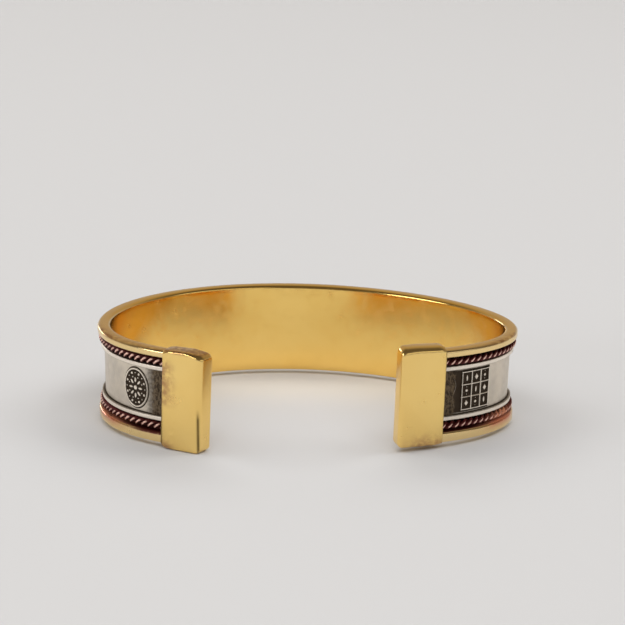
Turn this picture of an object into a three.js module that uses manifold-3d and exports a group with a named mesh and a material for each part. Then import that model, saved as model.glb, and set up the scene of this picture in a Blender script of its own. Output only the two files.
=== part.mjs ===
import * as THREE from "three";
import { mergeVertices } from "three/addons/utils/BufferGeometryUtils.js";
import Module from "manifold-3d";

// An open cuff bracelet of mixed metals, in millimetres, standing on its side edge.
// +Z is up, the opening faces -Y, and the origin is the middle of the box that it stands on.

// Plan of the cuff at the outer face of its two rims: a hand-bent oval, open at the front
const outerHalfWidth = 32;
const outerHalfDepth = 22.4;
const skewShare = -0.045;
const eggShare = -0.058;
const rightBendDeg = -51.1;
const leftBendDeg = 227;
const stationSpacing = 2.4;

// The right arm rises a little towards its end, as millimetres of rise for each millimetre along it
const rightEndSlope = 0.02;
const rightEndReach = 25;

// The whole band leans outward: how far its face lies further out for each millimetre of height
const bandLean = 0.02;

// Gold band: a backing strip with a rim standing proud along each edge
const bandHeight = 14.2;
const bandThickness = 2;
const backingThickness = 0.5;
const lowerRimHeight = 1.55;
const upperRimHeight = 1.2;
const rimTopRounding = 0.5;
const rimLedgeRounding = 0.45;
const rimEdgeRounding = 0.25;
const roundingSteps = 2;
const topRoundingSteps = 3;

// Silver band: a plate with a raised rail along each edge, seated in the channel
const seatGap = 0.1;
const lowerChannel = 1.6;
const upperChannel = 1.5;
const plateRecess = 1;
const railRecess = 0.5;
const railHeight = 0.68;
const railChamfer = 0.12;

// Copper ropes: two strands twisted together, lying in the two channels
const ropeDiameter = 1.25;
const ropePitch = 2.4;
const ropeSeatGap = 0.1;
const ropeTuck = 1;
const sectionsPerPitch = 6;
const ropeTipReach = 0.48;
const ropeTipWidth = 0.14;
const ropeWaist = 0.25;

// Sleeves over the two ends of the band, folded by hand and so each a little different.
// planDeg is the sleeve's angle to the opening's line, rise and drop are how far it stands above
// and below the band, flare is how much further it rises at its far end, lean is how far its
// ends slant over each millimetre of height, and endSkew is the same over each one of depth.
const leftSleeve = { length: 6.8, planDeg: 28, rise: 0.25, flare: 0.2, drop: 0.7, lean: 0.036, endSkew: 0.15 };
const rightSleeve = { length: 7.1, planDeg: 20, rise: 0.75, flare: 0.2, drop: 0.3, lean: 0.01, endSkew: -0.1 };
const capSetback = 0.3;
const capProud = 0.5;
const capClearance = 0.06;
const capEndWall = 1.1;
const capEdgeRounding = 0.6;
const capMouthRounding = 0.15;
const capEndRounding = 0.9;
const capEndTuck = 0.55;
const capEndSteps = 3;
const pocketRounding = 0.15;
const tongueGap = 0.2;

// Medallion on the left arm: a ring round a rosette of petals and beads
const medallionFromBend = 5.45;
const medallionHalfWidth = 2.55;
const medallionHalfHeight = 3;
const medallionRingWidth = 0.2;
const medallionRise = 0.28;
const rosettePetals = 8;
const petalReach = 1.02;
const petalLength = 0.9;
const petalWidth = 0.42;
const rosetteBeadReach = 1.95;
const rosetteBeadRadius = 0.24;
const rosetteCentreRadius = 0.42;

// Squared panel on the right arm: raised lines round small plain ornaments
const panelFromBend = 6.2;
const panelWidth = 5.8;
const panelHeight = 6;
const panelCells = 3;
const panelLine = 0.2;
const panelRise = 0.22;
const ornamentRise = 0.2;
const ornamentSize = 0.5;
const barHalfWidth = 0.14;
const dotRadius = 0.27;
const lozengeTopReach = 0.25;
const lozengeFootReach = 0.45;

// How the reliefs are made: how deep they are rooted, and how finely their bosses are faceted
const reliefRoot = 0.2;
const ringShoulderShare = 0.6;
const leafRiseShare = 0.8;
const bossSides = 8;
const bossRows = 4;

const wasm = await Module();
wasm.setup();

const up = new THREE.Vector3(0, 0, 1);
const { isClockWise } = THREE.ShapeUtils;

// The plan line between two plan angles, where 90 degrees is the middle of the back
class WristOval extends THREE.Curve {
  constructor(fromDeg, toDeg) {
    super();
    this.fromDeg = fromDeg;
    this.toDeg = toDeg;
    this.arcLengthDivisions = 1200;
  }

  getPoint(share, target = new THREE.Vector3()) {
    const angle = THREE.MathUtils.degToRad(THREE.MathUtils.lerp(this.fromDeg, this.toDeg, share));
    const lean = skewShare * Math.sin(2 * angle) + eggShare * Math.cos(2 * angle);
    const y = outerHalfDepth * (Math.sin(angle) + lean);
    return target.set(outerHalfWidth * Math.cos(angle), y, 0);
  }
}

// A level direction at an angle to the opening's line
function planWay(deg) {
  return new THREE.Vector3(1, 0, 0).applyAxisAngle(up, THREE.MathUtils.degToRad(deg));
}

// The band's whole path: straight inside each sleeve, and the oval between them
class BandPath {
  constructor() {
    this.oval = new WristOval(rightBendDeg, leftBendDeg);
    this.length = this.oval.getLength();
    this.start = this.oval.getPoint(0);
    this.end = this.oval.getPoint(1);
    this.startWay = planWay(rightSleeve.planDeg);
    this.endWay = planWay(-leftSleeve.planDeg);
  }

  // Where the rims' outer face is at a length along the band, and the way into the hollow there
  at(length) {
    let point;
    let way;
    if (length < 0) {
      way = this.startWay;
      point = this.start.clone().addScaledVector(way, length);
    } else if (length > this.length) {
      way = this.endWay;
      point = this.end.clone().addScaledVector(way, length - this.length);
    } else {
      way = this.oval.getTangentAt(length / this.length);
      point = this.oval.getPointAt(length / this.length);
    }
    point.z = this.lift(length);
    return { point, way: way.clone(), inward: new THREE.Vector3().crossVectors(up, way).normalize() };
  }

  // How far the band's lower edge stands above its lowest stretch, the back
  lift(length) {
    const left = Math.max(0, 1 - Math.max(0, length) / rightEndReach);
    return rightEndSlope * ((rightEndReach / 3) * left ** 3 + Math.max(0, -length));
  }

  // At a bend the way into the hollow halves the turn, so both sides meet in a mitre
  mitre(length) {
    const straight = length === 0 ? this.startWay : this.endWay;
    const frame = this.at(length);
    const half = straight.clone().add(frame.way).normalize();
    const stretch = 1 / half.dot(straight);
    frame.inward = new THREE.Vector3().crossVectors(up, half).multiplyScalar(stretch);
    return frame;
  }
}

const path = new BandPath();
const channelFloor = bandThickness - backingThickness;
const silverBottom = lowerRimHeight + lowerChannel;
const silverTop = bandHeight - upperRimHeight - upperChannel;
const silverMiddle = (silverBottom + silverTop) / 2;

// A point at a depth behind the rims' outer face and a height above the band's lower edge
function place(frame, depth, height) {
  const leaned = depth + bandLean * (bandHeight - rimTopRounding - height);
  return frame.point.clone().addScaledVector(frame.inward, leaned).addScaledVector(up, height);
}

// A mesh geometry whose faces all point out
function closedGeometry(points, faces) {
  let volume = 0;
  for (const [a, b, c] of faces) {
    volume += points[a].dot(new THREE.Vector3().crossVectors(points[b], points[c]));
  }
  const index = faces.flatMap(([a, b, c]) => (volume > 0 ? [a, b, c] : [a, c, b]));
  const geometry = new THREE.BufferGeometry().setFromPoints(points);
  geometry.setIndex(index);
  return geometry;
}

// A closed body through rings with equal numbers of points, its two end rings filled flat
function loft(rings, section) {
  const count = section.length;
  const points = rings.flat();
  const faces = [];
  for (let ring = 0; ring + 1 < rings.length; ring += 1) {
    for (let side = 0; side < count; side += 1) {
      const a = ring * count + side;
      const b = ring * count + ((side + 1) % count);
      faces.push([a, b, b + count], [a, b + count, a + count]);
    }
  }
  const last = (rings.length - 1) * count;
  for (const triangle of THREE.ShapeUtils.triangulateShape(section, [])) {
    const sameWay = isClockWise(section) === isClockWise(triangle.map((i) => section[i]));
    const [a, b, c] = sameWay ? triangle : triangle.toReversed();
    faces.push([a, c, b], [last + a, last + b, last + c]);
  }
  return closedGeometry(points, faces);
}

// Points of an arc round a corner of a section, from one angle to another
function corner(centreX, centreY, radius, fromDeg, toDeg, steps) {
  const arc = [];
  for (let step = 0; step <= steps; step += 1) {
    const angle = THREE.MathUtils.degToRad(THREE.MathUtils.lerp(fromDeg, toDeg, step / steps));
    arc.push(new THREE.Vector2(centreX + radius * Math.cos(angle), centreY + radius * Math.sin(angle)));
  }
  return arc;
}

// Frames along the band, from a length past the right bend to a length past the left one
function stations(beyondRight, beyondLeft) {
  const count = Math.round(path.length / stationSpacing);
  const frames = [path.at(-beyondRight), path.mitre(0)];
  for (let step = 1; step < count; step += 1) {
    frames.push(path.at((path.length * step) / count));
  }
  frames.push(path.mitre(path.length), path.at(path.length + beyondLeft));
  return frames;
}

const tongueRight = capSetback + rightSleeve.length - capEndWall - tongueGap;
const tongueLeft = capSetback + leftSleeve.length - capEndWall - tongueGap;

function extrudeAlongBand(section) {
  const frames = stations(tongueRight, tongueLeft);
  return loft(frames.map((frame) => section.map((spot) => place(frame, spot.x, spot.y))), section);
}

function goldBand() {
  const small = rimEdgeRounding;
  const soft = rimLedgeRounding;
  const large = rimTopRounding;
  const ledge = bandHeight - upperRimHeight;
  const section = [
    ...corner(small, small, small, 270, 180, roundingSteps),
    ...corner(soft, lowerRimHeight - soft, soft, 180, 90, roundingSteps),
    new THREE.Vector2(channelFloor, lowerRimHeight),
    new THREE.Vector2(channelFloor, ledge),
    new THREE.Vector2(small, ledge),
    new THREE.Vector2(0, ledge + small),
    ...corner(large, bandHeight - large, large, 180, 90, topRoundingSteps),
    ...corner(bandThickness - large, bandHeight - large, large, 90, 0, topRoundingSteps),
    ...corner(bandThickness - small, small, small, 0, -90, roundingSteps),
  ];
  return extrudeAlongBand(section);
}

// One rail's outer corners, from its lower edge to its upper edge
function railCorners(bottom, chamferBottom, chamferTop) {
  const top = bottom + railHeight;
  return [
    new THREE.Vector2(railRecess + chamferBottom, bottom),
    new THREE.Vector2(railRecess, bottom + chamferBottom),
    new THREE.Vector2(railRecess, top - chamferTop),
    new THREE.Vector2(railRecess + chamferTop, top),
  ];
}

function silverStrip() {
  const back = channelFloor - seatGap;
  const section = [
    new THREE.Vector2(back, silverBottom),
    ...railCorners(silverBottom, railChamfer, railChamfer),
    new THREE.Vector2(plateRecess, silverBottom + railHeight),
    new THREE.Vector2(plateRecess, silverTop - railHeight),
    ...railCorners(silverTop - railHeight, railChamfer, railChamfer),
    new THREE.Vector2(back, silverTop),
  ];
  return extrudeAlongBand(section);
}

// Bends a relief onto the plate: its x runs along the band, its y up and its z out of the plate
function bendOntoPlate(geometry, length, height) {
  const position = geometry.attributes.position;
  const spot = new THREE.Vector3();
  for (let i = 0; i < position.count; i += 1) {
    spot.fromBufferAttribute(position, i);
    const placed = place(path.at(length + spot.x), plateRecess - spot.z, height + spot.y);
    position.setXYZ(i, placed.x, placed.y, placed.z);
  }
  return geometry;
}

function solidOf(geometry) {
  const bare = geometry.clone();
  bare.deleteAttribute("normal");
  bare.deleteAttribute("uv");
  const welded = mergeVertices(bare, 1e-4);
  const vertProperties = new Float32Array(welded.attributes.position.array);
  const triVerts = new Uint32Array(welded.index.array);
  return new wasm.Manifold(new wasm.Mesh({ numProp: 3, vertProperties, triVerts }));
}

function geometryOf(solid) {
  const mesh = solid.getMesh();
  const geometry = new THREE.BufferGeometry();
  geometry.setAttribute("position", new THREE.BufferAttribute(new Float32Array(mesh.vertProperties), 3));
  geometry.setIndex(new THREE.BufferAttribute(new Uint32Array(mesh.triVerts), 1));
  return geometry;
}

// A raised oval ring, rooted in the plate
function ovalRing(halfWidth, halfHeight, width, rise) {
  const sides = 16;
  const profile = [
    new THREE.Vector2(1, -reliefRoot),
    new THREE.Vector2(1, rise * ringShoulderShare),
    new THREE.Vector2(1 - width / 2, rise),
    new THREE.Vector2(1 - width, rise * ringShoulderShare),
    new THREE.Vector2(1 - width, -reliefRoot),
    new THREE.Vector2(1, -reliefRoot),
  ];
  const ring = new THREE.LatheGeometry(profile, sides);
  ring.rotateX(Math.PI / 2);
  ring.scale(halfWidth, halfHeight, 1);
  return ring;
}

// A low rounded boss, as long and wide as asked, turned in the plate's plane
function boss(halfLength, halfWidth, rise, turn) {
  const bead = new THREE.SphereGeometry(1, bossSides, bossRows);
  bead.rotateX(Math.PI / 2);
  bead.scale(halfLength, halfWidth, rise);
  bead.rotateZ(turn);
  return bead;
}

function medallion() {
  const shapes = [
    ovalRing(medallionHalfWidth, medallionHalfHeight, medallionRingWidth / medallionHalfWidth, medallionRise),
    boss(rosetteCentreRadius, rosetteCentreRadius, medallionRise, 0),
  ];
  const stretch = medallionHalfHeight / medallionHalfWidth;
  for (let petal = 0; petal < rosettePetals; petal += 1) {
    const turn = (2 * Math.PI * petal) / rosettePetals;
    const leaf = boss(petalLength / 2, petalWidth / 2, medallionRise * leafRiseShare, turn);
    leaf.translate(petalReach * Math.cos(turn), petalReach * Math.sin(turn) * stretch, 0);
    const between = turn + Math.PI / rosettePetals;
    const bead = boss(rosetteBeadRadius, rosetteBeadRadius, medallionRise * leafRiseShare, between);
    bead.translate(rosetteBeadReach * Math.cos(between), rosetteBeadReach * Math.sin(between) * stretch, 0);
    shapes.push(leaf, bead);
  }
  return shapes.map((shape) => bendOntoPlate(shape, path.length - medallionFromBend, silverMiddle));
}

// A raised line of the panel, in steps short enough to follow the plate's curve
function panelBar(width, height, x, y) {
  const steps = Math.max(1, Math.round(width));
  const depth = reliefRoot + panelRise;
  const bar = new THREE.BoxGeometry(width, height, depth, steps, 1, 1);
  bar.translate(x, y, panelRise - depth / 2);
  return bar;
}

// The ornaments in the panel's squares, by row: dots, lozenges and bars
function panelOrnament(column, row) {
  const kinds = ["lozenge", "dot", "bar"];
  const kind = kinds[(column + row) % kinds.length];
  if (kind === "bar") {
    return boss(barHalfWidth, ornamentSize, ornamentRise, 0);
  }
  if (kind === "dot") {
    return boss(dotRadius, dotRadius, ornamentRise, 0);
  }
  const lozenge = new THREE.CylinderGeometry(lozengeTopReach, lozengeFootReach, ornamentRise + reliefRoot, 4);
  lozenge.rotateX(Math.PI / 2);
  lozenge.translate(0, 0, (ornamentRise - reliefRoot) / 2);
  return lozenge;
}

function panel() {
  const shapes = [];
  const cellWidth = (panelWidth - panelLine) / panelCells;
  const cellHeight = (panelHeight - panelLine) / panelCells;
  for (let line = 0; line <= panelCells; line += 1) {
    shapes.push(panelBar(panelLine, panelHeight, line * cellWidth - (panelWidth - panelLine) / 2, 0));
    shapes.push(panelBar(panelWidth, panelLine, 0, line * cellHeight - (panelHeight - panelLine) / 2));
  }
  for (let column = 0; column < panelCells; column += 1) {
    for (let row = 0; row < panelCells; row += 1) {
      const ornament = panelOrnament(column, row);
      const middle = (panelCells - 1) / 2;
      ornament.translate((column - middle) * cellWidth, (row - middle) * cellHeight, 0);
      shapes.push(ornament);
    }
  }
  return shapes.map((shape) => bendOntoPlate(shape, panelFromBend, silverMiddle));
}

function silverBand() {
  let solid = solidOf(silverStrip());
  for (const relief of [...medallion(), ...panel()]) {
    solid = solid.add(solidOf(relief));
  }
  return geometryOf(solid);
}

// Outline of the two strands together, which the twist turns along the rope
function ropeSection() {
  const tip = ropeTipReach * ropeDiameter;
  const side = ropeTipWidth * ropeDiameter;
  const waist = ropeWaist * ropeDiameter;
  return [
    new THREE.Vector2(tip, side),
    new THREE.Vector2(0, waist),
    new THREE.Vector2(-tip, side),
    new THREE.Vector2(-tip, -side),
    new THREE.Vector2(0, -waist),
    new THREE.Vector2(tip, -side),
  ];
}

function copperRope(height) {
  const section = ropeSection();
  const depth = channelFloor - ropeSeatGap - ropeDiameter / 2;
  const from = -capSetback - ropeTuck;
  const to = path.length + capSetback + ropeTuck;
  const steps = Math.round(((to - from) / ropePitch) * sectionsPerPitch);
  const rings = [];
  for (let step = 0; step <= steps; step += 1) {
    const frame = path.at(THREE.MathUtils.lerp(from, to, step / steps));
    const turn = (-2 * Math.PI * step) / sectionsPerPitch;
    const middle = new THREE.Vector2();
    rings.push(section.map((spot) => {
      const turned = spot.clone().rotateAround(middle, turn);
      return place(frame, depth + turned.x, height + turned.y);
    }));
  }
  return loft(rings, section);
}

// An upright rectangle with rounded corners, given by its low and high depths and heights
function roundedRectangle(lowDepth, highDepth, low, high, radius) {
  const steps = 3;
  return [
    ...corner(highDepth - radius, high - radius, radius, 0, 90, steps),
    ...corner(lowDepth + radius, high - radius, radius, 90, 180, steps),
    ...corner(lowDepth + radius, low + radius, radius, 180, 270, steps),
    ...corner(highDepth - radius, low + radius, radius, 270, 360, steps),
  ];
}

// A sleeve that is open at its mouth: up the pocket from its blind end, and down the outside
function endCap(mouthLength, side, sleeve) {
  const rings = [];
  const addRing = (section, along, lean, skew) => {
    rings.push(section.map((spot) => {
      const slant = side * lean * (spot.y - bandHeight / 2);
      const turn = skew * (spot.x - bandThickness / 2);
      return place(path.at(mouthLength + side * (along + slant + turn)), spot.x, spot.y);
    }));
  };
  const pocket = roundedRectangle(
    -capClearance,
    bandThickness + capClearance,
    -capClearance,
    bandHeight + capClearance,
    pocketRounding,
  );
  const addOutside = (along, sideTuck, topTuck) => {
    const share = along / sleeve.length;
    const section = roundedRectangle(
      sideTuck - capProud,
      bandThickness + capProud - sideTuck,
      topTuck - sleeve.drop,
      bandHeight + sleeve.rise + sleeve.flare * share - topTuck,
      capEdgeRounding - Math.min(sideTuck, capEdgeRounding - pocketRounding),
    );
    addRing(section, along, sleeve.lean, sleeve.endSkew * share);
  };
  addRing(pocket, sleeve.length - capEndWall, 0, 0);
  addRing(pocket, 0, sleeve.lean, 0);
  addOutside(0, capMouthRounding, capMouthRounding);
  addOutside(capMouthRounding, 0, 0);
  for (let step = 0; step <= capEndSteps; step += 1) {
    const angle = (Math.PI / 2) * (step / capEndSteps);
    const along = sleeve.length - capEndRounding * (1 - Math.sin(angle));
    const tuck = 1 - Math.cos(angle);
    addOutside(along, capEndTuck * tuck, capEndRounding * tuck);
  }
  return loft(rings, pocket);
}

const gold = new THREE.MeshStandardMaterial({ color: 0xd2a85a, metalness: 1, roughness: 0.28 });
const silver = new THREE.MeshStandardMaterial({ color: 0xaaa398, metalness: 1, roughness: 0.38 });
const copper = new THREE.MeshStandardMaterial({ color: 0x9c5a48, metalness: 1, roughness: 0.3 });

function named(name, geometry, material) {
  const mesh = new THREE.Mesh(geometry, material);
  mesh.name = name;
  return mesh;
}

const upperRopeHeight = silverTop + ropeSeatGap + ropeDiameter / 2;
const lowerRopeHeight = silverBottom - ropeSeatGap - ropeDiameter / 2;

const bracelet = new THREE.Group();
bracelet.add(
  named("gold_band", goldBand(), gold),
  named("silver_band", silverBand(), silver),
  named("copper_rope_upper", copperRope(upperRopeHeight), copper),
  named("copper_rope_lower", copperRope(lowerRopeHeight), copper),
  named("end_cap_left", endCap(path.length + capSetback, 1, leftSleeve), gold),
  named("end_cap_right", endCap(-capSetback, -1, rightSleeve), gold),
);

// The origin goes to the middle of the bracelet's own box, on the surface that it stands on
const box = new THREE.Box3().setFromObject(bracelet);
const middle = box.getCenter(new THREE.Vector3());
bracelet.position.set(-middle.x, -middle.y, -box.min.z);

export default bracelet;
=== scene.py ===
"""The looks of an open cuff bracelet of mixed metals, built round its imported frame.

A gold-coloured channel band holds a silver plate between two twisted copper ropes, and a folded
sleeve closes each end of it. Lengths are in metres, in the frame's own axes: +Z is up across the
band's height and the opening faces -Y.
"""

import logging
import math
from collections.abc import Mapping, Sequence
from dataclasses import dataclass, field
from enum import Enum

import bpy
import numpy as np
from mathutils import Matrix, Vector


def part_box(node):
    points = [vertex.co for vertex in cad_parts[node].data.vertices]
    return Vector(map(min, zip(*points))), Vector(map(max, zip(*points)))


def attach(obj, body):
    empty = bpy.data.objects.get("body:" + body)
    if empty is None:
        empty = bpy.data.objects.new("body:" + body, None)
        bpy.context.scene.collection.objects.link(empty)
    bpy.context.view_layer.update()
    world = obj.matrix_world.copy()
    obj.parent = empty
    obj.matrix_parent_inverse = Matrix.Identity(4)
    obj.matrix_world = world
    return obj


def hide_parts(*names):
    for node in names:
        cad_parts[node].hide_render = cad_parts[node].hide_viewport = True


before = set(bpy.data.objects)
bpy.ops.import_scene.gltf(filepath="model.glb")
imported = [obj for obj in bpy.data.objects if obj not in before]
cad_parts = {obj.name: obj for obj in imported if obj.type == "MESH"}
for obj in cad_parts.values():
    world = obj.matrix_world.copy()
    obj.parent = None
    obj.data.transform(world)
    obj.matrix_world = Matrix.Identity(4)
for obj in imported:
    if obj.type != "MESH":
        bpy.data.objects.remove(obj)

log = logging.getLogger("cuff")

MM = 0.001
IMAGE_SIDE = 625
SENSOR_SIDE = 36.0
UP = np.array([0.0, 0.0, 1.0])
NOISE_MIDDLE = 0.5


class Side(Enum):
    """An arm of the cuff, as seen from its opening, and the way along the band to its end."""

    RIGHT = -1
    LEFT = 1


class Ornament(Enum):
    """A small plain figure in a square of the panel."""

    LOZENGE = 0
    DOT = 1
    BAR = 2


def smooth(value: np.ndarray, low: float, high: float) -> np.ndarray:
    """Rises smoothly from 0 at low to 1 at high.

    Args:
        value: The values to judge.
        low: Where the rise begins.
        high: Where the rise ends, which may be lower than low for a fall.

    Returns:
        The share of the rise at each value.
    """
    share = np.clip((value - low) / (high - low), 0.0, 1.0)
    return share * share * (3.0 - 2.0 * share)


def bump_at(value: np.ndarray, centre: float, width: float) -> np.ndarray:
    """A soft bell of height 1 at a centre.

    Args:
        value: The values to judge.
        centre: Where the bell is highest.
        width: How far from there it has fallen to a third.

    Returns:
        The height of the bell at each value.
    """
    return np.exp(-(((value - centre) / width) ** 2))


def dome(distance: np.ndarray, radius: float) -> np.ndarray:
    """The height of a round boss of height 1 at a distance from its middle.

    Args:
        distance: Distances from the middle.
        radius: Where the boss meets its ground.

    Returns:
        The height at each distance, 0 outside the boss.
    """
    return np.sqrt(np.clip(1.0 - (distance / radius) ** 2, 0.0, 1.0))


def arc(centre: tuple[float, float], radius: float, turn: tuple[float, float], steps: int) -> np.ndarray:
    """Points of a round corner of a section.

    Args:
        centre: Depth and height of the corner's centre.
        radius: Radius of the corner.
        turn: First and last angle in degrees, from the way into the hollow towards up.
        steps: How many straight steps the corner has.

    Returns:
        One row of depth and height for each point.
    """
    angles = np.radians(np.linspace(turn[0], turn[1], steps + 1))
    return np.column_stack([centre[0] + radius * np.cos(angles), centre[1] + radius * np.sin(angles)])


@dataclass(frozen=True)
class Stations:
    """Places along the band: points on the rims' outer face and the way into the hollow there.

    Lean is how far the face lies further out for each length of height, seen from the level.
    """

    lengths: np.ndarray
    points: np.ndarray
    inward: np.ndarray
    lean: float
    level: float

    def place(self, depth: np.ndarray, height: np.ndarray) -> np.ndarray:
        """Points at depths behind the rims' face and heights above the band's lower edge.

        Args:
            depth: Depths, shaped like the lengths or with a row of its own for each.
            height: Heights, shaped like the depths.

        Returns:
            The points, with their three coordinates last.
        """
        leaned = np.asarray(depth) + self.lean * (self.level - np.asarray(height))
        return self.points + self.inward * leaned[..., None] + UP * np.asarray(height)[..., None]


@dataclass(frozen=True)
class BandPath:
    """The line of the rims' outer face: a hand-bent oval with a straight stretch in each sleeve."""

    half_width: float = 32 * MM
    half_depth: float = 22.4 * MM
    skew: float = -0.045
    egg: float = -0.058
    right_bend_deg: float = -51.1
    left_bend_deg: float = 227
    right_plan_deg: float = 20
    left_plan_deg: float = 28
    right_end_slope: float = 0.02
    right_end_reach: float = 25 * MM
    lean: float = 0.02
    level: float = 13.7 * MM
    samples: int = 4001
    spare_deg: float = 30
    probe: float = 0.02 * MM

    def oval(self, angle: np.ndarray) -> np.ndarray:
        """Points of the oval.

        Args:
            angle: Plan angles in radians, where a quarter turn is the middle of the back.

        Returns:
            One row of three coordinates for each angle.
        """
        lean = self.skew * np.sin(2 * angle) + self.egg * np.cos(2 * angle)
        across = self.half_depth * (np.sin(angle) + lean)
        return np.column_stack([self.half_width * np.cos(angle), across, np.zeros_like(angle)])

    def table(self) -> tuple[np.ndarray, np.ndarray]:
        """Length along the oval from the right bend, and the plan angle there."""
        spare = math.radians(self.spare_deg)
        low = math.radians(self.right_bend_deg) - spare
        high = math.radians(self.left_bend_deg) + spare
        angles = np.linspace(low, high, self.samples)
        steps = np.linalg.norm(np.diff(self.oval(angles), axis=0), axis=1)
        lengths = np.concatenate([[0.0], np.cumsum(steps)])
        lengths -= np.interp(math.radians(self.right_bend_deg), angles, lengths)
        return lengths, angles

    @property
    def length(self) -> float:
        """Length of the oval between the two bends."""
        lengths, angles = self.table()
        return float(np.interp(math.radians(self.left_bend_deg), angles, lengths))

    def shift(self) -> np.ndarray:
        """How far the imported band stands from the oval's own centre."""
        low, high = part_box("gold_band")
        angles = self.table()[1]
        outline = self.oval(angles)
        return np.array([(low.x + high.x) / 2, high.y - outline[:, 1].max(), low.z])

    def lift(self, lengths: np.ndarray) -> np.ndarray:
        """How far the band's lower edge stands above the back's, where the right arm rises."""
        left = np.clip(1 - np.clip(lengths, 0, None) / self.right_end_reach, 0, None)
        return self.right_end_slope * (self.right_end_reach / 3 * left**3 + np.clip(-lengths, 0, None))

    def at(self, lengths: np.ndarray) -> Stations:
        """Stations at lengths from the right bend.

        Args:
            lengths: Lengths along the band, in any shape, which may run past either bend.

        Returns:
            The stations there.
        """
        flat = np.ravel(lengths)
        along, angles = self.table()
        total = self.length
        inside = np.clip(flat, 0.0, total)
        points = self.oval(np.interp(inside, along, angles))
        ahead = self.oval(np.interp(inside + self.probe, along, angles))
        behind = self.oval(np.interp(inside - self.probe, along, angles))
        way = ahead - behind
        right, left = math.radians(self.right_plan_deg), math.radians(-self.left_plan_deg)
        way[flat < 0] = (math.cos(right), math.sin(right), 0.0)
        way[flat > total] = (math.cos(left), math.sin(left), 0.0)
        way /= np.linalg.norm(way, axis=1, keepdims=True)
        points += way * (flat - inside)[:, None] + UP * self.lift(flat)[:, None] + self.shift()
        shape = (*np.shape(lengths), 3)
        inward = np.cross(UP, way).reshape(shape)
        return Stations(np.asarray(lengths), points.reshape(shape), inward, self.lean, self.level)


class Value:
    """A shader socket that takes part in plain arithmetic by adding Math nodes."""

    def __init__(self, graph: "Graph", socket: bpy.types.NodeSocket) -> None:
        """Wraps a socket.

        Args:
            graph: The graph that the socket is in.
            socket: The output that holds the value.
        """
        self.graph = graph
        self.socket = socket

    def math(self, operation: str, *others: "Value | float") -> "Value":
        """Adds a Math node.

        Args:
            operation: The node's operation.
            others: Its further inputs.

        Returns:
            The node's result.
        """
        sockets = dict(enumerate([self, *others]))
        return self.graph.add("ShaderNodeMath", {"operation": operation}, sockets)

    def __add__(self, other: "Value | float") -> "Value":
        """Sum of two values."""
        return self.math("ADD", other)

    def __sub__(self, other: "Value | float") -> "Value":
        """Difference of two values."""
        return self.math("SUBTRACT", other)

    def __mul__(self, other: "Value | float") -> "Value":
        """Product of two values."""
        return self.math("MULTIPLY", other)

    def __rsub__(self, other: float) -> "Value":
        """A number less this value."""
        return self.math("MULTIPLY", -1.0).math("ADD", other)

    __radd__ = __add__
    __rmul__ = __mul__

    def larger(self, other: "Value | float") -> "Value":
        """The larger of two values."""
        return self.math("MAXIMUM", other)

    def span(self, low: float, high: float, start: float = 0.0, end: float = 1.0) -> "Value":
        """Carries a range of this value smoothly over to another range.

        Args:
            low: Where the result begins to change.
            high: Where it has changed fully.
            start: The result at low.
            end: The result at high.

        Returns:
            The result, held between start and end.
        """
        sockets = {"Value": self, "From Min": low, "From Max": high, "To Min": start, "To Max": end}
        return self.graph.add("ShaderNodeMapRange", {"interpolation_type": "SMOOTHSTEP"}, sockets)


@dataclass(frozen=True)
class Grain:
    """Soft noise over the band: how fine it is, how it is drawn out and where it shows.

    Detail is how many finer layers it has and rough how strong they are. Along and across are how
    much a millimetre each way counts. It begins to show at low and has changed fully at high, and
    least and most are how much it shows there.
    """

    scale: float
    detail: float = 3.0
    rough: float = 0.5
    along: float = 1.0
    across: float = 1.0
    low: float = 0.0
    high: float = 1.0
    least: float = 0.0
    most: float = 1.0


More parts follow.
